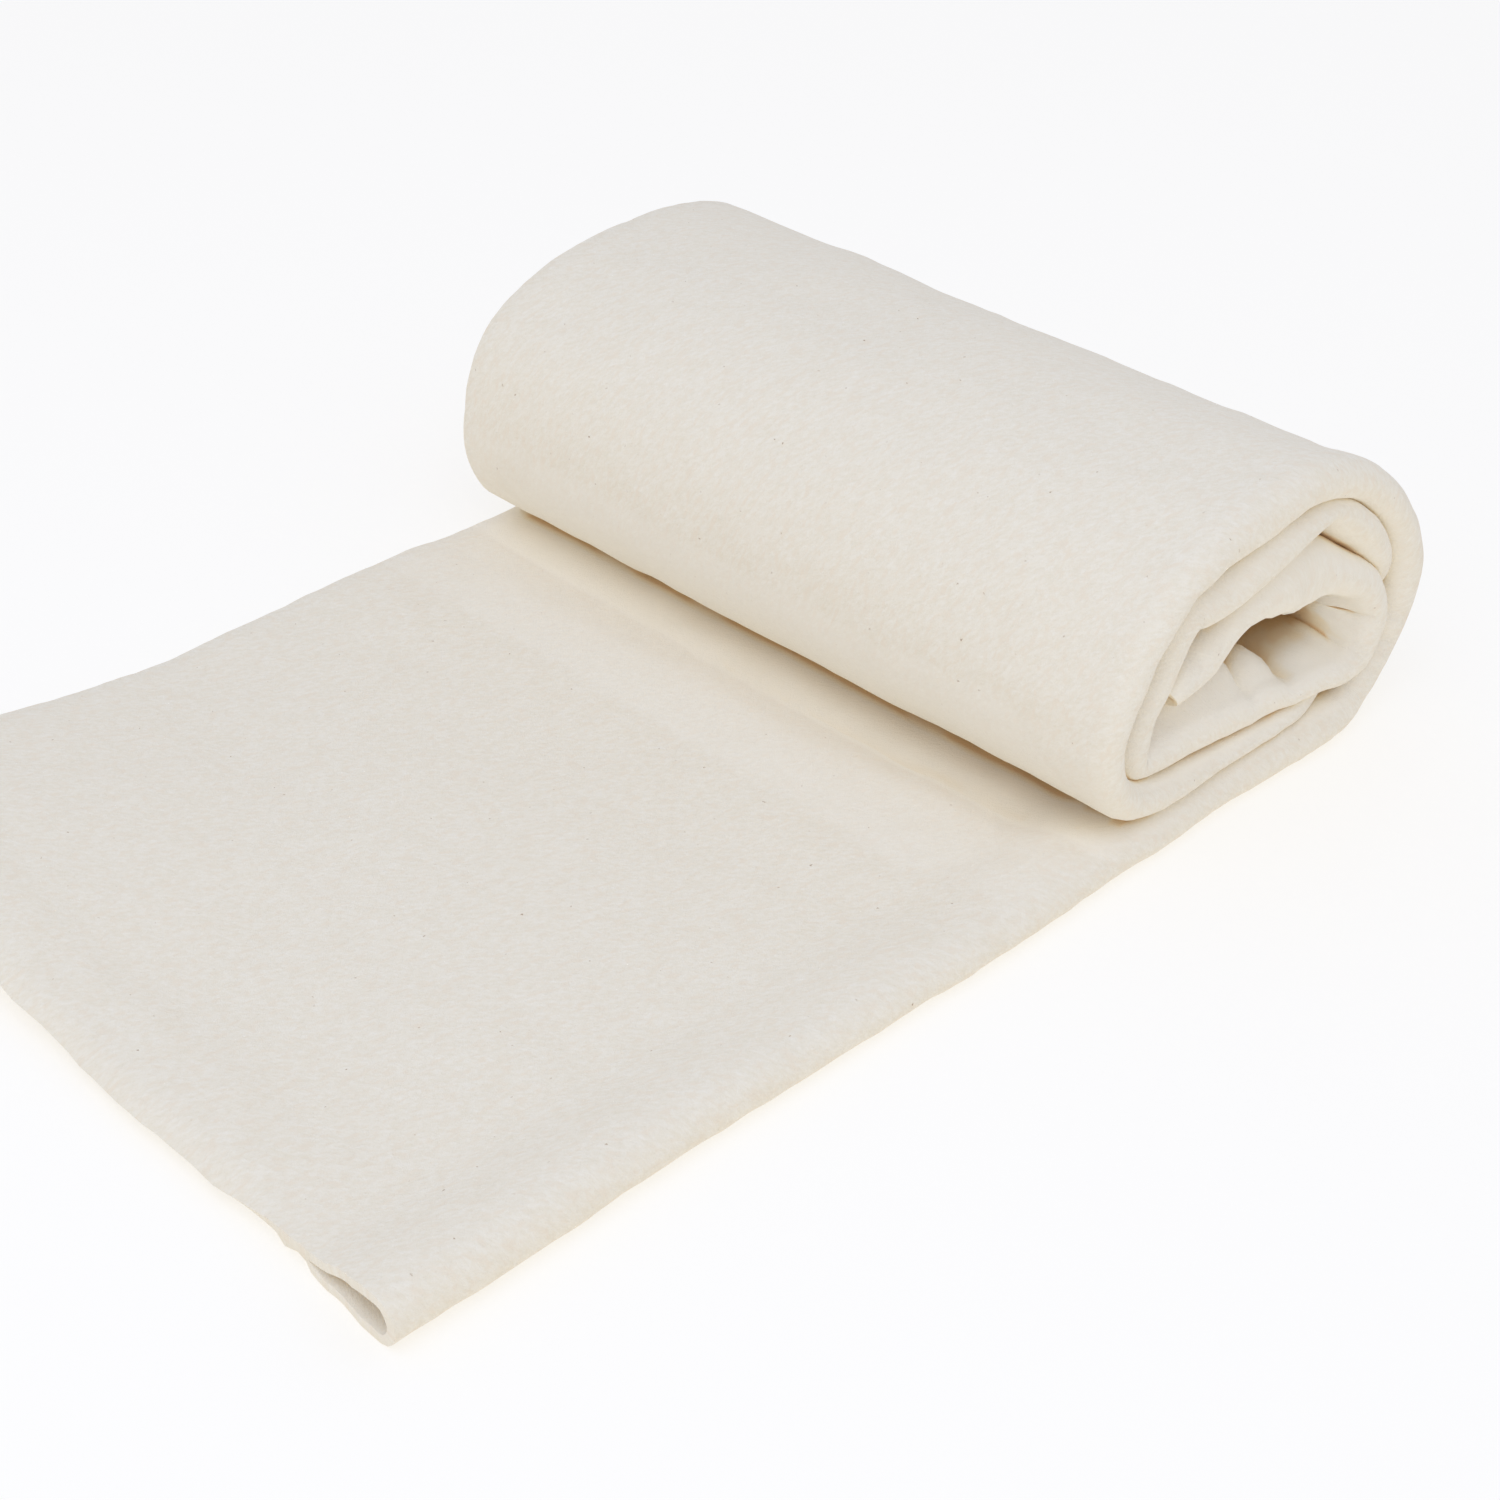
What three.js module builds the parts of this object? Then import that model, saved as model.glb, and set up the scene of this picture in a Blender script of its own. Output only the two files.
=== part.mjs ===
// A length of needle-punched cotton batting, folded in half along its length and rolled up
// from one end, with the other end left lying out flat. Millimetres, +Z up, resting on Z = 0.
// X runs along the strip, with the roll at +X and the loose end at -X. Y runs along the roll,
// with the fold on the -Y side and the two cut edges on the +Y side.
import * as THREE from "three";

// Driving dimensions
const LAYER = 3.2; // thickness of one layer of batting
const BODY = 7.0; // the two layers and the air between them, away from the fold
const FOLD_Y = -154; // the outermost line of the fold
const CUT_Y = 150; // the cut edges
const NEAR_Y = -150; // where the near outlines in the tables are measured
const NOSE = 8; // how far the round of the fold reaches in from its outermost line
const NOSE_LEAD = 2; // on a thin lip it reaches only this much further in than half the lip
const LIP_REACH = 42; // how far the fold stands open before the layers lie together
const RECESS_FADE = [60, 200]; // a fold drawn in at the end is level again over this stretch
const PUFF_RISE = [4, 30]; // the inner layer lifts off the outer one over this stretch
const PUFF_FADE = [60, 220]; // and lies down on it again over this one
const BULGE_FADE = [6, 24]; // a lip that bulges over its neighbour's drops back over this

// A soft ridge runs across the strip in front of the roll, slightly askew. It starts at the
// fold and has its full height a little further in.
const RIDGE_RISE = [2, 22];
const RIDGE = { nearX: -30, farX: -48, nearHeight: 3.5, farHeight: 0.8, width: 9 };
// The loose end curls up off the table: its far corner most, its middle a little.
const CORNER_CURL = { height: 11, fromX: -150, toX: -290, fromY: -20, toY: 150 };
const END_CURL = { height: 1.5, fromX: -245, toX: -295, fromY: -150, toY: -90 };

// The outer face of the doubled batting, followed from the loose end to the inner end.
// near and far are its [x, z] at the fold end and at the cut end of the roll, and lip is the
// thickness of the open fold there. Where given, recess is how far the fold is drawn in,
// bulge how far the lip swells outwards over its neighbour's, and puff how far the inner
// layer stands off behind the lip.
const STRIP = [
  { near: [-298.5, 0], far: [-290.5, 0], lip: 17, recess: -1.6 },
  { near: [-200, 0], far: [-196, 0], lip: 14.5, recess: 0.3 },
  { near: [-100, 0], far: [-98, 0], lip: 13.5, recess: -1.6 },
  { near: [-30, 0], far: [-30, 0], lip: 13, recess: -1.8 },
  { near: [30, 0], far: [30, 0], lip: 12.5, recess: 0.4 },
  { near: [75, 0], far: [72, 0], lip: 12, recess: -2 },
];
const FIRST_TURN = [
  { near: [101, 0], far: [95, 0], lip: 11.5, recess: -2.5 },
  { near: [112, 2.6], far: [111, 4.5], lip: 11.5, recess: -1 },
  { near: [123, 11.2], far: [123, 15], lip: 11.5 },
  { near: [132.4, 23.5], far: [132, 29], lip: 11.5 },
  { near: [138.4, 38], far: [136.5, 45], lip: 11.5 },
  { near: [137.8, 55], far: [136, 61], lip: 11.5 },
  { near: [130.6, 71.5], far: [129.5, 77.5], lip: 12.5, bulge: 0.5 },
  { near: [116, 88.5], far: [119, 90.5], lip: 13.2, bulge: 0.8 },
  { near: [96, 101.5], far: [103, 99], lip: 13.2, bulge: 1.8 },
  { near: [72, 110], far: [81, 103.5], lip: 13.8, bulge: 0.8 },
  { near: [44, 110], far: [58, 103.8], lip: 15.5 },
  { near: [18, 104], far: [36, 102], lip: 16 },
  { near: [-3, 91], far: [11, 95.3], lip: 16 },
  { near: [-18, 73], far: [-10, 81.5], lip: 15 },
  { near: [-27, 54], far: [-21, 59], lip: 13.6 },
  { near: [-26, 35], far: [-22, 37], lip: 12.2 },
  { near: [-15, 20], far: [-12.5, 18], lip: 11.3 },
  { near: [2, 14], far: [4, 8.5], lip: 12 },
];
const SECOND_TURN = [
  { near: [25, 13.2], far: [28, 7.6], lip: 11 },
  { near: [50, 12.8], far: [52, 7.6], lip: 9 },
  { near: [75, 12.6], far: [76, 7.6], lip: 8 },
  { near: [94, 12.5], far: [95, 8.6], lip: 7.6, recess: 3 },
  { near: [107, 15.8], far: [108, 12.8], lip: 7.4, recess: 14 },
  { near: [118, 23.7], far: [117.5, 21.5], lip: 7.4, recess: 20 },
  { near: [125.2, 35], far: [125.5, 33], lip: 7.4, recess: 16 },
  { near: [125.6, 46.5], far: [128.3, 46], lip: 7.8, recess: 5 },
  { near: [121.2, 59.5], far: [127, 59], lip: 10.8 },
  { near: [112.3, 72.3], far: [120, 72], lip: 14 },
  { near: [100, 83.3], far: [111.5, 84], lip: 15 },
  { near: [84, 91.2], far: [97, 91.5], lip: 13.5 },
  { near: [65, 93], far: [79, 95.5], lip: 12 },
  { near: [44, 89.5], far: [57, 96], lip: 12.5 },
  { near: [25, 85], far: [38, 94], lip: 13 },
  { near: [9, 77], far: [16.5, 88.8], lip: 13 },
  { near: [-3, 65], far: [-2, 78], lip: 12.5 },
  { near: [-12, 52.5], far: [-12, 59.5], lip: 12.5 },
  { near: [-14, 41], far: [-14.5, 43], lip: 12 },
  { near: [-9.3, 31.3], far: [-10, 28], lip: 11, recess: 1 },
];
const THIRD_TURN = [
  { near: [2, 26.5], far: [2, 18.5], lip: 9.5, recess: 2, puff: 4 },
  { near: [20, 25.2], far: [20, 15.6], lip: 8.5, recess: 2, puff: 9 },
  { near: [45, 23], far: [45, 15.4], lip: 8, recess: 2, puff: 17 },
  { near: [70, 22.2], far: [72, 15.4], lip: 8, recess: 1, puff: 17 },
  { near: [87, 22.6], far: [90, 17], lip: 9, puff: 13 },
  { near: [101, 25], far: [104, 22.5], lip: 10, bulge: 5, puff: 5 },
  { near: [111, 33], far: [114.5, 31], lip: 11, bulge: 12, puff: 1.5 },
  { near: [114.5, 43], far: [120.5, 43], lip: 11, bulge: 3.6, puff: 1 },
  { near: [109, 52.5], far: [119.5, 54.5], lip: 13, recess: 1, bulge: 0.5, puff: 2 },
];
// The inner end hangs into the hollow as a loose tongue.
const TONGUE = [
  { near: [98, 61], far: [110, 66], lip: 16, recess: 3, puff: 3 },
  { near: [84, 69.5], far: [95, 74.5], lip: 18, recess: 5, puff: 4 },
  { near: [67, 74], far: [76, 79], lip: 19.5, recess: 5, puff: 2 },
  { near: [51, 71], far: [57, 79], lip: 17, recess: 5, puff: 1 },
  { near: [38, 63.5], far: [42, 73], lip: 12.5, recess: 5 },
  { near: [29, 54.5], far: [31, 62], lip: 11, recess: 4 },
  { near: [19, 49.5], far: [20, 53], lip: 10, recess: 4 },
  { near: [7, 50], far: [8, 51], lip: 9, recess: 4 },
];
const STATIONS = [...STRIP, ...FIRST_TURN, ...SECOND_TURN, ...THIRD_TURN, ...TONGUE];

// How finely the shape is cut: steps from each station to the next along the batting, and
// distances in from the fold across it.
const STEPS_ON_STRIP = [4, 4, 7, 6, 3, 2];
const STEPS_ON_TURNS = 3;
const STEPS_INSIDE = 2;
const ACROSS = [CUT_Y - FOLD_Y, 200, 100, 45, 22, NOSE];
const NOSE_STEPS = 6;

// The columns besides near and far have their corners rounded off over this many stations.
const ROUNDING = 0.5;

const smooth = (x) => THREE.MathUtils.smoothstep(x, 0, 1);
const rise = (x, [from, to]) => smooth((x - from) / (to - from));

// The outer face at one end of the roll, as a smooth curve through the stations.
function outline(end) {
  const points = STATIONS.map((s) => new THREE.Vector3(s[end][0], 0, s[end][1]));
  return new THREE.CatmullRomCurve3(points, false, "centripetal");
}
const OUTLINES = { near: outline("near"), far: outline("far") };

// A point of an outline, kept on or above the table, and the way in towards the roll's middle.
function onOutline(end, u) {
  const curve = OUTLINES[end];
  const t = u / (STATIONS.length - 1);
  const point = curve.getPoint(t);
  const tangent = curve.getTangent(t);
  point.z = Math.max(point.z, 0);
  if (point.z === 0) tangent.set(1, 0, 0);
  return { point, inward: new THREE.Vector3(-tangent.z, 0, tangent.x) };
}

function straightBetween(name, u) {
  const i = THREE.MathUtils.clamp(Math.floor(u), 0, STATIONS.length - 2);
  const from = STATIONS[i][name] ?? 0;
  const to = STATIONS[i + 1][name] ?? 0;
  return THREE.MathUtils.lerp(from, to, THREE.MathUtils.clamp(u - i, 0, 1));
}

// Another column of the tables at station u, with its corners rounded off.
function between(name, u) {
  const sides = straightBetween(name, u - ROUNDING) + straightBetween(name, u + ROUNDING);
  return (sides + 2 * straightBetween(name, u)) / 4;
}

// How far the loose end has curled up off the table.
function curl(x, y) {
  return [CORNER_CURL, END_CURL].reduce(
    (sum, c) => sum + c.height * rise(x, [c.fromX, c.toX]) * rise(y, [c.fromY, c.toY]),
    0,
  );
}

function ridge(x, share) {
  const middle = THREE.MathUtils.lerp(RIDGE.nearX, RIDGE.farX, share);
  const height = THREE.MathUtils.lerp(RIDGE.nearHeight, RIDGE.farHeight, share);
  return height * Math.exp(-(((x - middle) / RIDGE.width) ** 2));
}

// A cross section is walked from the cut edge of the outer layer, in to the fold, round it
// and back along the inner layer. Each entry is a distance in from the fold, or an angle
// round it, on the outer layer (side 0) or the inner one (side 1).
const SECTION = [
  ...ACROSS.map((across) => ({ across, side: 0 })),
  ...Array.from({ length: NOSE_STEPS - 1 }, (_, i) => ({
    angle: (Math.PI * (i + 1)) / NOSE_STEPS,
  })),
  ...[...ACROSS].reverse().map((across) => ({ across, side: 1 })),
];

// A point on the batting's surface at station u: on its outer skin, or on the skin inside
// the fold, which lies one layer deep.
function surfacePoint(u, entry, inside) {
  const lip = between("lip", u);
  const skin = inside ? LAYER : 0;
  let across, depth;
  if (entry.angle !== undefined) {
    const reach = Math.min(NOSE, lip / 2 + NOSE_LEAD) - skin;
    across = NOSE - reach * Math.sin(entry.angle);
    depth = lip / 2 - Math.cos(entry.angle) * (lip / 2 - skin);
  } else {
    across = entry.across;
    const open = 1 - rise(across, [NOSE, LIP_REACH]);
    const puff = between("puff", u) * rise(across, PUFF_RISE) * (1 - rise(across, PUFF_FADE));
    const thickness = BODY + (lip - BODY) * open + puff;
    depth = entry.side === 0 ? skin : thickness - skin;
  }
  const y = FOLD_Y + across + between("recess", u) * (1 - rise(across, RECESS_FADE));
  const share = (y - NEAR_Y) / (CUT_Y - NEAR_Y);
  const near = onOutline("near", u);
  const far = onOutline("far", u);
  const inward = near.inward.lerp(far.inward, share).normalize();
  const swell = between("bulge", u) * (1 - rise(across, BULGE_FADE));
  const p = near.point.lerp(far.point, share).addScaledVector(inward, depth - swell);
  p.y = y;
  if (u < STRIP.length) {
    p.z += curl(p.x, y);
    if (entry.side === 1) p.z += ridge(p.x, share) * rise(across, RIDGE_RISE);
  }
  return p;
}

// The stations at which a cross section is taken.
function sectionStations() {
  const at = [];
  for (let i = 0; i < STATIONS.length - 1; i++) {
    const isInside = i >= STATIONS.length - THIRD_TURN.length - TONGUE.length;
    const steps = STEPS_ON_STRIP[i] ?? (isInside ? STEPS_INSIDE : STEPS_ON_TURNS);
    for (let k = 0; k < steps; k++) at.push(i + k / steps);
  }
  return [...at, STATIONS.length - 1];
}

// One closed surface: the outer skin, the skin inside the fold, and the four cut borders
// that join them.
function battingGeometry() {
  const along = sectionStations();
  const columns = SECTION.length;
  const last = { row: along.length - 1, column: columns - 1 };
  const positions = [];
  for (const inside of [false, true])
    for (const u of along)
      for (const entry of SECTION) positions.push(...surfacePoint(u, entry, inside).toArray());
  const index = (inside, row, column) =>
    ((inside ? along.length : 0) + row) * columns + column;
  const faces = [];
  const quad = (a, b, c, d) => faces.push(a, b, c, a, c, d);
  for (let r = 0; r < last.row; r++)
    for (let c = 0; c < last.column; c++) {
      const corners = [[r, c], [r + 1, c], [r + 1, c + 1], [r, c + 1]];
      quad(...corners.map(([row, column]) => index(false, row, column)));
      quad(...corners.reverse().map(([row, column]) => index(true, row, column)));
    }
  const border = (from, to) =>
    quad(index(false, ...to), index(false, ...from), index(true, ...from), index(true, ...to));
  for (let r = 0; r < last.row; r++) {
    border([r, 0], [r + 1, 0]);
    border([r + 1, last.column], [r, last.column]);
  }
  for (let c = 0; c < last.column; c++) {
    border([0, c + 1], [0, c]);
    border([last.row, c], [last.row, c + 1]);
  }
  const geometry = new THREE.BufferGeometry();
  geometry.setAttribute("position", new THREE.Float32BufferAttribute(positions, 3));
  geometry.setIndex(faces);
  return geometry;
}

// The origin is the middle of the underside, on the table.
const geometry = battingGeometry();
geometry.computeBoundingBox();
const box = geometry.boundingBox;
geometry.translate(-(box.min.x + box.max.x) / 2, -(box.min.y + box.max.y) / 2, -box.min.z);
geometry.computeVertexNormals();

const cotton = new THREE.MeshStandardMaterial({
  color: 0xe6e0d3,
  roughness: 0.95,
  metalness: 0,
  flatShading: true,
});
const batting = new THREE.Mesh(geometry, cotton);
batting.name = "batting";

const group = new THREE.Group();
group.name = "roll_of_cotton_batting";
group.add(batting);

export default group;
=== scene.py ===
# %% [markdown]
# # A roll of cotton batting
# Batting is the soft middle of a quilt: a mat of cotton fibre, punched all over with barbed
# needles until it holds together. This one is a single length, folded in half along its
# length and rolled up loosely from one end, with the other end left lying out on the table.
# The imported model holds it as one closed solid, in metres, which is opened first. The solid's
# box is kept.

# %% Open the imported model
import itertools
import math

import bpy
import numpy as np
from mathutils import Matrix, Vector, noise
from mathutils.bvhtree import BVHTree


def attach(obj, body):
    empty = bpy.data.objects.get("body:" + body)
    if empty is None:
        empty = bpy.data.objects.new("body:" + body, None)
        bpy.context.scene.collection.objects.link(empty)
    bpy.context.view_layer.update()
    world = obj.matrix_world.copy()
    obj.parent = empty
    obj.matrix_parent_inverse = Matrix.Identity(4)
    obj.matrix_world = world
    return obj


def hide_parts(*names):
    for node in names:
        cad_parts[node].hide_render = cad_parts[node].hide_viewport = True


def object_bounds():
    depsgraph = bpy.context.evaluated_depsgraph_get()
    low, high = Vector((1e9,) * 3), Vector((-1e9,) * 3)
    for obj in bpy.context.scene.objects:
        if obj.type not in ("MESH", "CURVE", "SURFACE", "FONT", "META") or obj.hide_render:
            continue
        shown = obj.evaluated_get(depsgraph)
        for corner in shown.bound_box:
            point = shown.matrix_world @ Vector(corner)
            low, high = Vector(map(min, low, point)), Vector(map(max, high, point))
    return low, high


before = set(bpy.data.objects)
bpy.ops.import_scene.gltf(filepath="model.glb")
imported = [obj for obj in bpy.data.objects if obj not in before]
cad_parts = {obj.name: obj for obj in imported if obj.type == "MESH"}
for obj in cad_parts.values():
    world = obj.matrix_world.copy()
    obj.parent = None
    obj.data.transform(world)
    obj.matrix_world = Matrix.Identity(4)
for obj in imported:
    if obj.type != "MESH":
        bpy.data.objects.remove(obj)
solid_box = [list(corner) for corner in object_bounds()]
bpy.ops.object.select_all(action="DESELECT")
low, high = (Vector(corner) for corner in solid_box)
print("the packed solid measures", [round(side * 1000, 1) for side in high - low], "mm")

# %% [markdown]
# ## Where the measurements start
# The tables below follow the batting in millimetres from a point under the roll, beside its
# left flank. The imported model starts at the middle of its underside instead, so that point is
# found again from the solid: its loose end lies 298.66 mm to the left of it, and its cut edges
# 150 mm behind it.

# %% The tables' own starting point
LOOSE_END_X, CUT_EDGE_Y = -298.66, 150.0
start = Vector((low.x - LOOSE_END_X / 1000, high.y - CUT_EDGE_Y / 1000, 0))
print("the tables start at", [round(value * 1000, 2) for value in start], "mm")

# %% [markdown]
# ## The camera
# The camera looks down on the roll from the left of its folded end, so that the strip comes
# towards the lower left of the picture. A lens of 66 mm keeps the far edge a little smaller
# than the near one.

# %% The camera
AZIMUTH, ELEVATION = math.radians(-44.51), math.radians(33.44)
AIM = Vector((-0.0459, -0.02136, 0))  # metres, from where the tables start
DISTANCE = 0.909  # metres, from there to the camera
LENS, SENSOR = 66.26, 36  # millimetres
toward_camera = Vector((
    math.sin(AZIMUTH) * math.cos(ELEVATION),
    -math.cos(AZIMUTH) * math.cos(ELEVATION),
    math.sin(ELEVATION),
))
bpy.ops.object.camera_add(
    location=start + AIM + toward_camera * DISTANCE,
    rotation=toward_camera.to_track_quat("Z", "Y").to_euler(),
)
camera = bpy.context.object
camera.data.sensor_width = SENSOR
camera.data.lens = LENS
bpy.context.scene.camera = camera
print("the camera stands", round(camera.location.z, 3), "m above the table")

# %% [markdown]
# ## The table and the light
# The roll lies on a plain white table. Cotton is close to white itself, so the light has to be
# wide and soft: a pale blue sky for most of it, one large lamp of the same colour from above on
# the left for the gentle shade on the folded end, and a plain display transform that keeps
# white white. The table is painted grey, so that it throws little light up under the roll, and
# a faint warm shine of its own brings it back to white.

# %% The table
TABLE_SIZE = 12  # metres
TABLE_GREY = (0.35, 0.35, 0.35, 1)
TABLE_SHINE, SHINE_STRENGTH = (1, 0.972, 0.913, 1), 0.66

bpy.ops.mesh.primitive_plane_add(size=TABLE_SIZE, location=(0, 0, 0))
table = bpy.context.object
table.name = "table"
white = bpy.data.materials.new("white table")
white.use_nodes = True
paint = white.node_tree.nodes["Principled BSDF"]
paint.inputs["Base Color"].default_value = TABLE_GREY
paint.inputs["Roughness"].default_value = 0.8
paint.inputs["Emission Color"].default_value = TABLE_SHINE
paint.inputs["Emission Strength"].default_value = SHINE_STRENGTH
table.data.materials.append(white)
bpy.ops.object.select_all(action="DESELECT")
print("the table is", TABLE_SIZE, "m wide")

# %% The sky and the lamp
SKY_COLOUR, SKY_STRENGTH = (0.80, 0.85, 0.985), 0.825
LAMP_PLACE, LAMP_SIZE, LAMP_WATTS = (-0.6, -0.4, 1.3), 1.3, 7  # metres, metres, watts

sky = bpy.data.worlds.new("white sky")
sky.use_nodes = True
sky.node_tree.nodes["Background"].inputs["Color"].default_value = (*SKY_COLOUR, 1)
sky.node_tree.nodes["Background"].inputs["Strength"].default_value = SKY_STRENGTH
bpy.context.scene.world = sky
bpy.context.scene.view_settings.view_transform = "Standard"

bpy.ops.object.light_add(type="AREA", location=LAMP_PLACE)
lamp = bpy.context.object
lamp.name = "window"
lamp.rotation_euler = Vector(LAMP_PLACE).to_track_quat("Z", "Y").to_euler()
lamp.data.size = LAMP_SIZE
lamp.data.energy = LAMP_WATTS
lamp.data.color = SKY_COLOUR
bpy.ops.object.select_all(action="DESELECT")
print("the lamp shines from", LAMP_PLACE, "with", LAMP_WATTS, "W")

# %% [markdown]
# ## The road of the batting
# Seen from its end, the roll is one long line: flat along the table, up the right flank, over
# the top, down the left, and inwards for three turns, until the last stretch hangs into the
# hollow as a loose tongue. The line could be drawn as a curve and the cloth swept along it, but
# the two ends of the roll are not alike: the folded end is squashed more than the cut one. So
# the line is written down twice, once for each end, and every point between them is blended.

# %% Sizes of the batting, in millimetres
LAYER = 3.2  # one layer of batting
BODY = 7.0  # two layers and the air between them
FOLD_Y = -154  # the outermost line of the fold
NEAR_Y = -150  # where the near outline is measured
NOSE = 8  # how far the round of the fold reaches in
NOSE_LEAD = 2  # on a thin lip, this much further in than half the lip
NOSE_ARC = 8.6  # half of the round of the fold, measured along the cloth
LIP_REACH = 42  # how far the fold stands open
PRESSED = 22  # at the foot of the right flank the turns press it closed this much sooner
print("away from the fold the layers lie", round(BODY - 2 * LAYER, 1), "mm apart")

# %% The outer face of the batting, station by station
# Each row holds near x, near z, far x, far z and the lip's thickness. Where they are given,
# it goes on with how far the fold is drawn in, how far its lip bulges out, and how far the
# inner layer puffs up behind the lip.
STRIP = [
    [-298.5, 0, -290.5, 0, 17, -1.6],
    [-200, 0, -196, 0, 14.5, 0.3],
    [-100, 0, -98, 0, 13.5, -1.6],
    [-30, 0, -30, 0, 13.6, -1.8],
    [30, 0, 30, 0, 14, 0.4],
    [75, 0, 72, 0, 13.8, -2],
]
FIRST_TURN = [
    [100, 0.2, 95, 0, 15, -1],
    [110.8, 3, 111, 4.5, 15.6, 1],
    [121.8, 12, 123, 15, 15.2, 1.5],
    [132.4, 23.5, 132, 29, 15, 1.7],
    [138.4, 38, 136.5, 45, 15.5, 0.8],
    [137.8, 55, 136, 61, 14],
    [130.6, 71.5, 129.5, 77.5, 13.2, 0, 0.5],
    [116, 88.5, 119, 90.5, 13.4, 0, 0.8],
    [96, 101.5, 103, 99, 13.6, 0, 1.8],
    [72, 110, 81, 103.5, 16, 0, 0.8],
    [44, 110, 58, 103.8, 19.4],
    [18, 104, 36, 102, 14.5],
    [-3, 91, 11, 95.3, 11.8],
    [-18, 73, -10, 81.5, 12.8],
    [-27, 54, -21, 59, 11.4],
    [-26, 35, -22, 37, 12],
    [-15, 20, -12.5, 18, 13.6],
    [2, 15, 4, 8.5, 12.2],
]
SECOND_TURN = [
    [25, 14.8, 28, 7.6, 9.8],
    [50, 14.6, 52, 7.6, 7.8],
    [75, 14.6, 76, 7.6, 7],
    [92, 15.4, 95, 8.6, 6.7, 4],
    [107, 16.8, 108, 12.8, 7, 14],
    [118, 24.2, 117.5, 21.5, 7.2, 20],
    [125.2, 35, 125.5, 33, 7.2, 16],
    [125.6, 46.5, 128.3, 46, 7.2, 6],
    [122, 59.8, 127, 59, 9, 1],
    [114, 73, 120, 72, 10.5, 0, 0, 4.5],
    [101.5, 84.6, 111.5, 84, 12.4, 0, 0, 4],
    [85, 93, 97, 91.5, 8.6, 0, 0, 4.5],
    [66, 93.7, 79, 95.5, 10, 0, 0, 3],
    [45, 91.6, 57, 96, 16.2],
    [26.6, 87.3, 38, 94, 16.2, 1],
    [12.2, 84, 16.5, 88.8, 14.8, 3],
    [-1, 63.6, -2, 78, 10.6, 3.6],
    [-10, 50, -12, 59.5, 12.4, 3.4],
    [-12.6, 39.4, -14.5, 43, 12, 2.6],
    [-8.4, 30.8, -10, 28, 9.4, 2],
]
THIRD_TURN = [
    [2, 27.4, 2, 18.5, 9.5, 2, 0, 9],
    [20, 25.8, 20, 15.6, 8.5, 2, 0, 13],
    [45, 23.2, 45, 15.4, 8, 2, 0, 18],
    [70, 22.4, 72, 15.4, 8, 1, 0, 8],
    [87, 22.8, 90, 17, 9, 0, 2.6, 2.5],
    [101, 25, 104, 22.5, 11, 0, 7, 2.5],
    [111, 33, 114.5, 31, 13, 0, 9, 4.5],
    [115.5, 43.5, 120.5, 43, 13, 0, 5, 7],
    [112.8, 56.8, 119.5, 54.5, 13, 1, 1, 5],
]
TONGUE = [
    [102, 66.8, 110, 66, 13.5, 2, 0, 3],
    [88.5, 75.8, 95, 74.5, 21.5, 3, 0, 3],
    [71, 81, 76, 79, 26.5, 3, 0, 1],
    [54, 77.5, 57, 79, 19, 3],
    [43, 73, 42, 73, 12.5, 4],
    [33.5, 69, 31, 64, 13.5, 4],
    [24, 64.5, 20, 56, 19, 4],
    [15, 60.4, 11, 53, 12.5, 3],
    [7.6, 56, 3, 51, 8.4, 3.5],
]
ROAD = np.array([
    row + [0] * (8 - len(row))
    for row in STRIP + FIRST_TURN + SECOND_TURN + THIRD_TURN + TONGUE
], float)
NEAR, FAR = ROAD[:, 0:2], ROAD[:, 2:4]
LIP, RECESS, BULGE, PUFF = 4, 5, 6, 7  # the other columns
print(len(ROAD), "stations along the batting")

# %% [markdown]
# ## From stations to smooth lines
# A curve that passes through every station, and never loops back on itself where two of them
# lie close together, is the centripetal Catmull-Rom spline. Its parameter counts the stations,
# so 7.5 is halfway between the eighth station and the ninth. The other columns only need their
# corners rounded off, which the mean of three neighbours does. Wherever a shape comes in or
# fades out, it does so smoothly between two values: rise goes from 0 to 1, and fall back to 0.


# %% Smooth lines through the stations
def rise(x, start, end):
    x = np.clip((x - start) / (end - start), 0, 1)
    return x * x * (3 - 2 * x)


def fall(x, start, end):
    return 1 - rise(x, start, end)


def along_line(points, u):
    ends = np.vstack([2 * points[0] - points[1], points, 2 * points[-1] - points[-2]])
    i = np.clip(np.floor(u).astype(int), 0, len(points) - 2)
    a, b, c, d = (ends[i + k] for k in range(4))
    ab, bc, cd = (
        np.sqrt(np.linalg.norm(q - p, axis=-1))[..., None] for p, q in ((a, b), (b, c), (c, d))
    )
    leave = ((b - a) / ab - (c - a) / (ab + bc) + (c - b) / bc) * bc
    arrive = ((c - b) / bc - (d - b) / (bc + cd) + (d - c) / cd) * bc
    t = (u - i)[..., None]
    bend = (3 * (c - b) - 2 * leave - arrive) * t**2
    return b + leave * t + bend + (2 * (b - c) + leave + arrive) * t**3


def column(k, u):
    def read(at):
        return np.interp(at, range(len(ROAD)), ROAD[:, k])

    return (read(u - 0.5) + 2 * read(u) + read(u + 0.5)) / 4


def direction(points, u):
    step = along_line(points, u + 0.01) - along_line(points, u - 0.01)
    return step / np.linalg.norm(step, axis=-1)[..., None]


FINE_STEPS = 6000
fine = np.linspace(0, len(ROAD) - 1, FINE_STEPS)
steps = np.linalg.norm(np.diff(along_line(NEAR, fine), axis=0), axis=1)
distance = np.concatenate([[0], np.cumsum(steps)])
LENGTH = distance[-1]
print("the batting is", round(LENGTH), "mm long")

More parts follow.
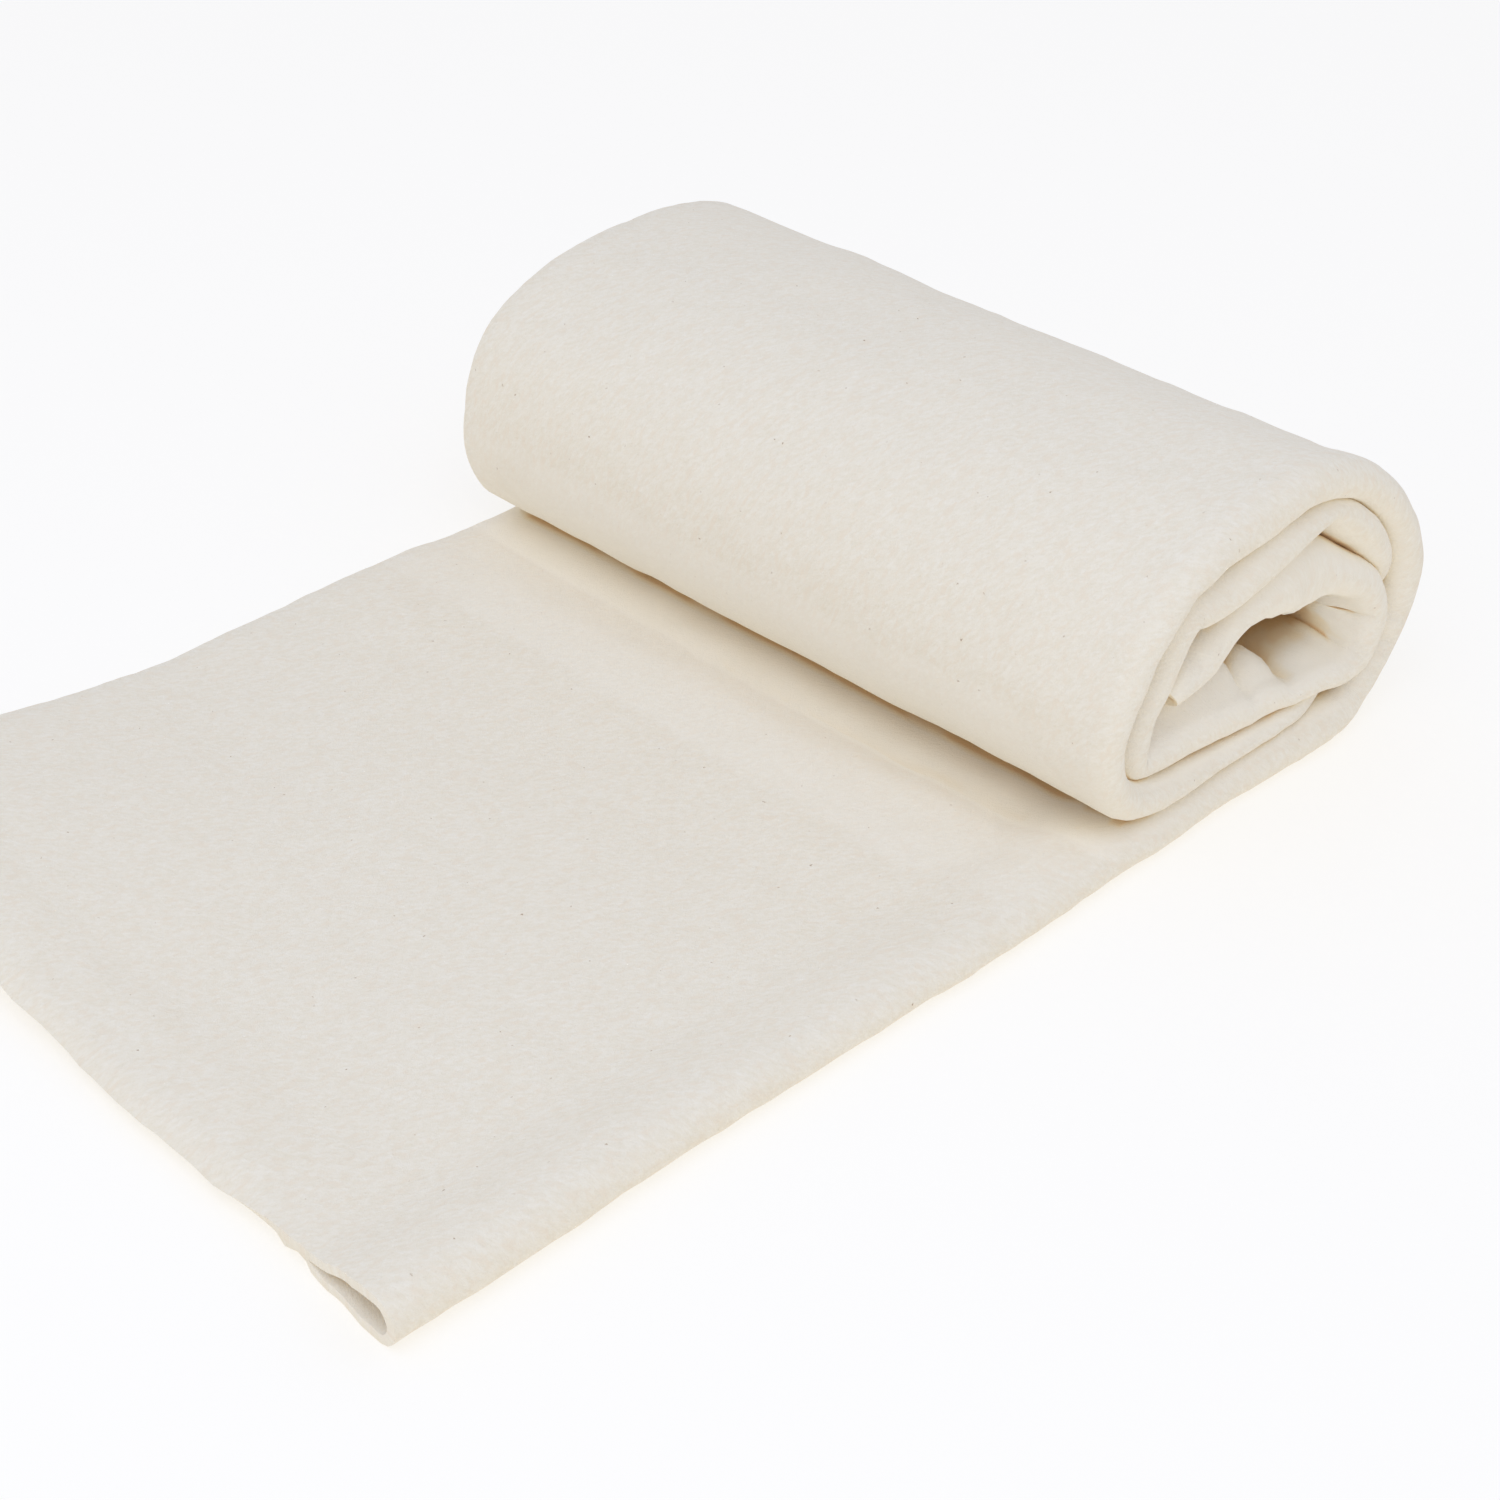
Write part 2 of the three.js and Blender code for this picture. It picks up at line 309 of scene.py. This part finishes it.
# %% [markdown]
# ## The flat cloth
# A sheet of cloth starts as a flat grid, cut to its real size. The rows of the grid are moved
# closer together towards the middle, where the fold will need them, and further apart towards
# the cut edges. The flat size is also written into the UV map in metres, so that the felt keeps
# its scale and follows the cloth round every turn.

# %% The flat cloth, cut to size
HALF = NOSE_ARC + 296  # from the fold line to a cut edge
ALONG, ACROSS = 420, 108  # cells of the grid
EVEN, WIDENING, WIDEN_POWER = 0.28, 0.72, 1.9  # how the rows are spaced out from the fold

bpy.ops.mesh.primitive_grid_add(x_subdivisions=ALONG, y_subdivisions=ACROSS, size=1)
batting = bpy.context.object
batting.name = "batting_roll"
grid = np.zeros(len(batting.data.vertices) * 3)
batting.data.vertices.foreach_get("co", grid)
grid = grid.reshape(-1, 3)
travel = (grid[:, 0] + 0.5) * LENGTH
side = 2 * grid[:, 1]  # -1 at the outer layer's cut edge, 0 on the fold, 1 at the inner one's
from_fold = HALF * (EVEN * np.abs(side) + WIDENING * np.abs(side) ** WIDEN_POWER)
flat = np.stack([travel, np.sign(side) * from_fold], axis=1)
print(len(grid), "points, flat size", round(2 * HALF), "x", round(LENGTH), "mm")

# %% The cloth's own map, in metres
corner = np.zeros(len(batting.data.loops), int)
batting.data.loops.foreach_get("vertex_index", corner)
batting.data.uv_layers.active.name = "cloth"
batting.data.uv_layers["cloth"].data.foreach_set("uv", (flat[corner] / 1000).ravel())
print("the map is", round(np.ptp(flat[:, 0]) / 1000, 3), "m long")

# %% [markdown]
# ## Folding and rolling it up
# Every point of the cloth knows two things: how far along the batting it lies, and how far in
# from the fold. The first gives its place on the two lines, the second its layer and how deep
# that layer lies under the outer face. A cloth simulation could roll it up too, but it would
# not stop in this very shape, with the lips and hollows of this roll.

# %% How deep each point lies
inner = side > 0
u = np.interp(travel, distance, fine)
lip, recess, bulge, puff = (column(k, u) for k in (LIP, RECESS, BULGE, PUFF))
half_layer = LAYER / 2
round_nose = from_fold < NOSE_ARC
turn = math.pi / 2 * (1 - np.clip(from_fold / NOSE_ARC, 0, 1))
reach = np.minimum(NOSE, lip / 2 + NOSE_LEAD) - half_layer
peek = 1 + 0.01 * rise(u, len(STRIP), 10) * inner  # its edge shows past the outer layer's
across = np.where(round_nose, NOSE - reach * np.sin(turn), NOSE + (from_fold - NOSE_ARC) * peek)
closed_by = LIP_REACH - PRESSED * rise(u, 5, 7) * fall(u, 10.5, 12.5)
opened = (lip - BODY) * fall(across, NOSE, closed_by)
print("the fold stands open to", round(lip.max(), 1), "mm at most")

# %% [markdown]
# Inside the roll the inner layer has more cloth than room. Behind the lip it puffs up, and in
# the hollow it lies in soft pleats that fan out from the middle. Each row of the table is one
# pleat: its station, how far it leans along the batting for each millimetre that it runs in, its
# height (a valley is less than nothing) and its half width.

# %% The inner layer where it crowds into the hollow
PLEATS = [
    [44.9, -0.1, 0.8, 5.0],
    [45.6, 0.1, -1.2, 4.0],
    [46.25, 0.05, -5.0, 3.0],
    [46.6, 0.0, 2.5, 4.0],
    [47.12, 0.1, -6.5, 3.4],
    [48.0, 0.1, 2.0, 7.0],
    [49.4, 0.05, -4.0, 3.4],
    [50.1, 0.1, 2.0, 4.0],
    [50.7, 0.2, -4.5, 2.6],
]


def puffed_at(across):
    puffed = puff * rise(across, 1, 18) * fall(across, 60, 220)
    for station, lean, height, half_width in PLEATS:
        off = travel - np.interp(station, fine, distance) - lean * (across - NOSE)
        run = rise(across, 3, 15) * fall(across, 26, 50)
        puffed = puffed + height * np.exp(-((off / half_width) ** 2)) * run
    return puffed


puffed = puffed_at(across)
print("the inner layer puffs up by as much as", round(puffed.max(), 1), "mm")
full_lip = lip + puffed_at(NOSE)
layer_depth = np.where(inner, BODY + opened + puffed - half_layer, half_layer)
nose_depth = full_lip / 2 + np.where(inner, 1, -1) * np.cos(turn) * (full_lip / 2 - half_layer)
depth = np.where(round_nose, nose_depth, layer_depth)

# %% Where each point lies
y = FOLD_Y + across + recess * fall(across, 60, 260)
share = ((y - NEAR_Y) / (CUT_EDGE_Y - NEAR_Y))[:, None]
near_point, far_point = along_line(NEAR, u), along_line(FAR, u)
flat_on_table = np.maximum(near_point[:, 1], 0) == 0
near_point[:, 1] = np.maximum(near_point[:, 1], 0)
far_point[:, 1] = np.maximum(far_point[:, 1], 0)
onward = direction(NEAR, u) * (1 - share) + direction(FAR, u) * share
onward[flat_on_table] = (1, 0)
onward /= np.linalg.norm(onward, axis=1)[:, None]
inward = np.stack([-onward[:, 1], onward[:, 0]], axis=1)
swell = bulge * fall(across, 6, 24)
profile = near_point * (1 - share) + far_point * share + inward * (depth - swell)[:, None]
x, z = profile.T
print("rolled up, it spans", round(x.max() - x.min()), "mm and is", round(z.max()), "mm high")

# %% [markdown]
# ## Soft shapes of the strip
# The strip that lies on the table is never quite flat. Both its layers curl up at the loose
# end, the far corner most. The rest is the upper layer's own, and it may only rise off the
# lower one: a soft ridge across the strip in front of the roll, a low swelling behind the
# ridge, another at the free end, and shallow waves between them.

# %% The strip's curl, ridge and swellings
CORNER_CURL, END_CURL = 11, 1.5  # how high the far corner and the end curl up
CREST_X, CREST_SKEW = -30, -18  # where the ridge meets the fold, and how far it is askew
CREST_HEIGHT, CREST_DROP = 3.2, 1.3  # its height there, and how much lower it is behind
BEHIND_CREST, FREE_END_SWELLING, WAVES = 1.2, 1.3, 0.45  # heights

on_strip = u < len(STRIP)
outward = -x  # how far out towards the loose end
curl = CORNER_CURL * rise(outward, 150, 290) * rise(y, -20, 120)
curl += END_CURL * rise(outward, 245, 295) * rise(y, -150, -90)
z = z + np.where(on_strip, curl, 0)
crest_x = CREST_X + CREST_SKEW * share[:, 0] + 2.5 * np.sin(y / 34) + 1.2 * np.sin(y / 13 + 1)
crest = CREST_HEIGHT - CREST_DROP * share[:, 0]
crest = crest * rise(x - crest_x, -62, -2) * fall(x - crest_x, -2, 18)
lifted = crest + BEHIND_CREST * np.exp(-(((x - 8) / 14) ** 2)) * rise(y, -120, -60)
free_end = rise(outward, 262, 276) * fall(outward, 284, 298)
lifted += FREE_END_SWELLING * free_end * rise(y, -120, -60)
wave = np.sin(x / 38 + y / 60) + np.sin(x / 23 - y / 41 + 2) + 2
lifted += WAVES * wave * rise(outward, 55, 85) * rise(across, 20, 80)
z = z + np.where(on_strip & inner, lifted * rise(across, 2, 22), 0)
print("the ridge across the strip is", round(crest.max(), 1), "mm high")

# %% [markdown]
# At the loose end the fold gapes in a teardrop loop. Further in, the cut edge of the upper
# layer droops over that of the lower one, which is set back a little. Batting is cut with
# shears and pulled about, so neither edge is quite straight.

# %% The loose end
DROOP, DROOP_LENGTH = 3.5, 8  # how far the upper edge hangs down, and over what length
SET_BACK, NOTCH = 7, 2.2  # how far the lower edge is set back, and more so beside the loop

closed = rise(across, 46, 76)
droop = DROOP * closed * np.clip(1 - travel / DROOP_LENGTH, 0, 1) ** 2
z = z - np.where(inner, droop, 0)
set_back = SET_BACK * closed + NOTCH * np.exp(-(((across - 45) / 4) ** 2))
x = x + np.where(inner, 0, set_back * fall(travel, 0, 24))
jagged = 0.2 * np.sin(y / 5.3) + 0.7 * np.sin(y / 17 + 1) + 0.12 * np.sin(y / 2.6 + 2)
x = x + jagged * fall(travel, 0, 30)
print("the upper layer hangs", round(set_back.max(), 1), "mm past the lower one")

# %% [markdown]
# The folded end has a few dents of its own, where one lip has pushed another in. Each row of
# the next table holds the place of a dent's middle seen from the end, its half width and half
# height, and how far it sinks in. Less than nothing is a swelling.

# %% Dents and folds at the near end
DENTS = [
    [19.5, 64, 2.6, 5.0, 7.0],
    [10, 56, 6.0, 5.0, -2.0],
    [84, 82, 6.0, 4.5, 4.5],
    [94, 75, 6.0, 4.5, 4.5],
    [102, 69, 5.0, 4.0, 3.0],
    [11.5, 87, 3.0, 2.6, 6.0],
    [28, 67, 7.0, 3.5, 6.0],
    [125, 36, 3.5, 2.2, 3.0],
    [121, 26.5, 3.5, 2.2, 3.0],
    [115, 19.5, 2.5, 2.5, 2.0],
]
for dent_x, dent_z, half_width, half_height, sunk in DENTS:
    hollow = np.exp(-(((x - dent_x) / half_width) ** 2) - ((z - dent_z) / half_height) ** 2)
    y = y + sunk * hollow * fall(across, 6, 30)
print(len(DENTS), "dents at the folded end")

# %% [markdown]
# Felt is never smooth. Three sizes of lump, from the size of an egg to that of a pea, go on top
# of all the rest, and no point may sink into the table.

# %% Lumps, and the cloth set in place
placed = np.stack([x, y, z], axis=1) / 1000 + np.array(start)


def lumps(size, height):
    return height * np.array([noise.noise_vector(Vector(point) / size) for point in placed])


placed = placed + lumps(0.045, 0.0008) + lumps(0.016, 0.0005) + lumps(0.006, 0.00025)
placed[:, 2] = np.maximum(placed[:, 2], half_layer / 1000)
batting.data.vertices.foreach_set("co", placed.ravel())
batting.data.update()
print("with its lumps it is", round(1000 * placed[:, 2].max(), 1), "mm high")

# %% [markdown]
# ## Thickness
# Solidify gives the sheet its 3.2 mm, half to each side of the grid, with a rim along all four
# cut borders. A small bevel takes the hard corner off the rim, because a cut edge of felt is
# soft.

# %% Thickness
SOFT_EDGE = 0.0011  # metres
solid = batting.modifiers.new("one layer", "SOLIDIFY")
solid.thickness = LAYER / 1000
solid.offset = 0
bpy.context.view_layer.objects.active = batting
batting.select_set(True)
bpy.ops.object.modifier_apply(modifier=solid.name)
edge = batting.modifiers.new("soft cut edge", "BEVEL")
edge.width = SOFT_EDGE
edge.segments = 2
edge.limit_method = "ANGLE"
edge.angle_limit = math.radians(60)
bpy.ops.object.modifier_apply(modifier=edge.name)
bpy.ops.object.shade_smooth()
print(len(batting.data.polygons), "faces with both skins and the rim")

# %% [markdown]
# ## How sheltered each spot is, for the painted shade
# Light that gets into a narrow gap between two turns strikes the cotton again and again before
# it comes out, and takes up more of its colour each time, and the narrowest gaps stay in shade.
# To paint that light and shade into the colour, every point of the cloth looks out to all sides
# that lie before it, and notes what share of its view is more cloth. A little more painted shade
# is added round the middle of the roll, which lies behind turn after turn.

# %% How sheltered each spot is, for the painted shade
VIEW = 0.07  # metres: cloth further away than this gives no shelter
GRAZING = 0.1  # ways that lie flatter on the cloth than this aren't looked along
CLEAR = 0.0002  # metres above the cloth, so that it doesn't meet itself
HOLLOW_WIDTH, HOLLOW_HEIGHT = 0.064, 0.034  # metres, from the middle of the roll
HOLLOW_PAINTED_SHADE = 0.17
mesh = batting.data
tree = BVHTree.FromObject(batting, bpy.context.evaluated_depsgraph_get())
ways = [Vector(way).normalized() for way in itertools.product((-1, 0, 1), repeat=3) if any(way)]
middle_of_roll = start + Vector((0.058, 0, 0.05))
painted_shade_share = []
for point, normal in zip(mesh.vertices, mesh.vertex_normals):
    weights = [(way.dot(normal.vector), way) for way in ways]
    weights = [(weight, way) for weight, way in weights if weight > GRAZING]
    eye = point.co + normal.vector * CLEAR
    met = sum(weight for weight, way in weights if tree.ray_cast(eye, way, VIEW)[0])
    away = point.co - middle_of_roll
    deep_in = max(0, 1 - (away.x / HOLLOW_WIDTH) ** 2 - (away.z / HOLLOW_HEIGHT) ** 2) ** 0.5
    share_met = met / sum(weight for weight, _ in weights)
    painted_shade_share.append(min(1, share_met + HOLLOW_PAINTED_SHADE * deep_in))
# the share is stored to paint shade and bounce light into the cotton's colour
mesh.attributes.new("painted_shade_share", "FLOAT", "POINT").data.foreach_set("value", painted_shade_share)
print("the cloth sees itself on", round(100 * sum(painted_shade_share) / len(painted_shade_share)), "% of its view")

# %% [markdown]
# ## The finish: felted cotton
# Up close the batting is a mat of curled fibres: slightly paler and darker tufts a couple of
# millimetres across, broad clouds where the mat is thicker or thinner, faint pinkish streaks,
# and here and there a brown fleck of seed. The colour stays close to white, because cotton
# soaks up very little light, and it is a little yellow, so that light which has bounced off it
# many times comes out warm. The patterns read the cloth's own map, so they follow it round the
# roll.

# %% Helpers for the material
cotton = bpy.data.materials.new("felted cotton")
cotton.use_nodes = True
nodes, links = cotton.node_tree.nodes, cotton.node_tree.links
shader = nodes["Principled BSDF"]


def add_node(kind, sockets=(), **settings):
    node = nodes.new("ShaderNode" + kind)
    for name, value in settings.items():
        setattr(node, name, value)
    for name, value in dict(sockets).items():
        if isinstance(value, bpy.types.NodeSocket):
            links.new(value, node.inputs[name])
        else:
            node.inputs[name].default_value = value
    return node


cloth = add_node("UVMap", uv_map="cloth").outputs["UV"]


def stretched(length, degrees):
    turned = {"Vector": cloth, "Scale": (length, 1, 1), "Rotation": (0, 0, math.radians(degrees))}
    return add_node("Mapping", turned, vector_type="TEXTURE").outputs["Vector"]


def add_noise(where, scale, detail, roughness, twist=0.0):
    sockets = {"Vector": where, "Scale": scale, "Detail": detail}
    sockets.update({"Roughness": roughness, "Distortion": twist})
    return add_node("TexNoise", sockets).outputs["Fac"]


def calculate(operation, a, b):
    return add_node("Math", {0: a, 1: b}, operation=operation).outputs[0]


def mix(kind, factor, a, b):
    mixed = add_node("Mix", {"Factor": factor, "A": a, "B": b}, data_type=kind)
    return mixed.outputs["Result"]


def remap(value, start, end, low=0.0, high=1.0):
    sockets = {"Value": value, "From Min": start, "From Max": end}
    sockets.update({"To Min": low, "To Max": high})
    return add_node("MapRange", sockets).outputs["Result"]


def add_ramp(factor, stops):
    ramp = add_node("ValToRGB", {"Fac": factor})
    elements = ramp.color_ramp.elements
    for element, (position, colour) in zip(elements, (stops[0], stops[-1])):
        element.position, element.color = position, colour
    for position, colour in stops[1:-1]:
        elements.new(position).color = colour
    return ramp.outputs["Color"]


# %% Tufts, clouds and fibres
tufts = add_noise(stretched(2.2, -45), scale=760, detail=4, roughness=0.62, twist=0.2)
clouds = add_noise(stretched(1.6, -45), scale=150, detail=3, roughness=0.5)
FIBRE_ANGLES = (-20, -70, 35)
strands = [
    add_noise(stretched(6, degrees), scale=1300, detail=3, roughness=0.6, twist=1.5)
    for degrees in FIBRE_ANGLES
]
fibres = calculate("ADD", calculate("ADD", strands[0], strands[1]), strands[2])
print("fibres lie at", FIBRE_ANGLES, "degrees to the strip")

# %% The colour of the mat
TUFT_COLOURS = [
    (0.36, (0.855, 0.758, 0.582, 1)),
    (0.5, (0.895, 0.81, 0.652, 1)),
    (0.63, (0.928, 0.854, 0.712, 1)),
]
PINKISH = (0.885, 0.775, 0.605, 1)
mat = mix("FLOAT", 0.25, tufts, clouds)
mat = mix("FLOAT", 0.35, mat, calculate("DIVIDE", fibres, len(FIBRE_ANGLES)))
streaks = add_noise(stretched(2, -20), scale=420, detail=3, roughness=0.6, twist=0.3)
streaked = mix("RGBA", remap(streaks, 0.5, 0.66), add_ramp(mat, TUFT_COLOURS), PINKISH)
print("the mat runs through", len(TUFT_COLOURS), "shades of cotton")

# %% Flecks of seed
# A Voronoi pattern gives one point to each cell of the cloth. Three cells in ten have no
# fleck, most of the others a faint one, and a little noise pulls each one out of round.
SEED = (0.3, 0.145, 0.04, 1)
CELLS = 75  # to each metre
FLECK_CORE, FLECK_RIM = 0.008, 0.028  # how far a fleck reaches, as a share of its cell
ragged = add_node("TexNoise", {"Vector": cloth, "Scale": 900, "Detail": 2})
nudged = add_node(
    "VectorMath", {0: ragged.outputs["Color"], 1: (0.0016, 0.0016, 0)}, operation="MULTIPLY"
)
moved = add_node("VectorMath", {0: cloth, 1: nudged.outputs[0]}, operation="ADD").outputs[0]
cells = add_node("TexVoronoi", {"Vector": moved, "Scale": CELLS}, voronoi_dimensions="2D")
spot = remap(cells.outputs["Distance"], FLECK_CORE, FLECK_RIM, low=1.0, high=0.0)
lot = add_node("SeparateColor", {"Color": cells.outputs["Color"]}).outputs["Red"]
strength = calculate("POWER", remap(lot, 0.3, 1.0), 2.5)
faded = calculate("MULTIPLY", calculate("MULTIPLY", spot, strength), 0.8)
flecked = mix("RGBA", faded, streaked, SEED)
print("a fleck of seed is about", round(2000 * FLECK_RIM / CELLS, 2), "mm wide")

# %% [markdown]
# The painted light and shade for the sheltered spots get stronger with the shelter. Where a
# spot is half hidden the cotton is painted paler, a painted bounce light from the lit cloth all
# round it. Deeper in it is painted cream, and in the narrowest gaps a brown painted shade.

# %% Painted bounce light and shade where the cloth is sheltered
# colours of the painted bounce light and the painted shade, from half hidden to the narrowest
# gaps
PAINTED_GAP_SHADE_COLOURS = [
    (0.35, (0.96, 0.885, 0.74, 1)),
    (0.7, (0.985, 0.91, 0.75, 1)),
    (0.87, (0.965, 0.82, 0.57, 1)),
    (1.0, (0.84, 0.57, 0.27, 1)),
]
painted_shade_factor = add_node("Attribute", attribute_name="painted_shade_share").outputs["Fac"]
painted_shade_weight = remap(painted_shade_factor, 0.1, 0.55, high=0.9)
colour = mix("RGBA", painted_shade_weight, flecked, add_ramp(painted_shade_factor, PAINTED_GAP_SHADE_COLOURS))
print("sheltered cotton runs through", len(PAINTED_GAP_SHADE_COLOURS), "shades")

# %% Relief, and the shader itself
coarse = add_node("Bump", {"Height": tufts, "Strength": 0.35, "Distance": 0.0006})
relief = {"Height": fibres, "Strength": 0.5, "Distance": 0.00025, "Normal": coarse.outputs[0]}
fine_relief = add_node("Bump", relief)
links.new(colour, shader.inputs["Base Color"])
links.new(fine_relief.outputs["Normal"], shader.inputs["Normal"])
shader.inputs["Roughness"].default_value = 1
shader.inputs["Specular IOR Level"].default_value = 0.15
shader.inputs["Sheen Weight"].default_value = 0.1
shader.inputs["Sheen Roughness"].default_value = 0.6
batting.data.materials.clear()
batting.data.materials.append(cotton)
print(len(nodes), "nodes make the felt")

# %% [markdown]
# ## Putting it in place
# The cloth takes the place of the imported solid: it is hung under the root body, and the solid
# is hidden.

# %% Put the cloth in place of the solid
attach(batting, "root")
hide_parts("batting")
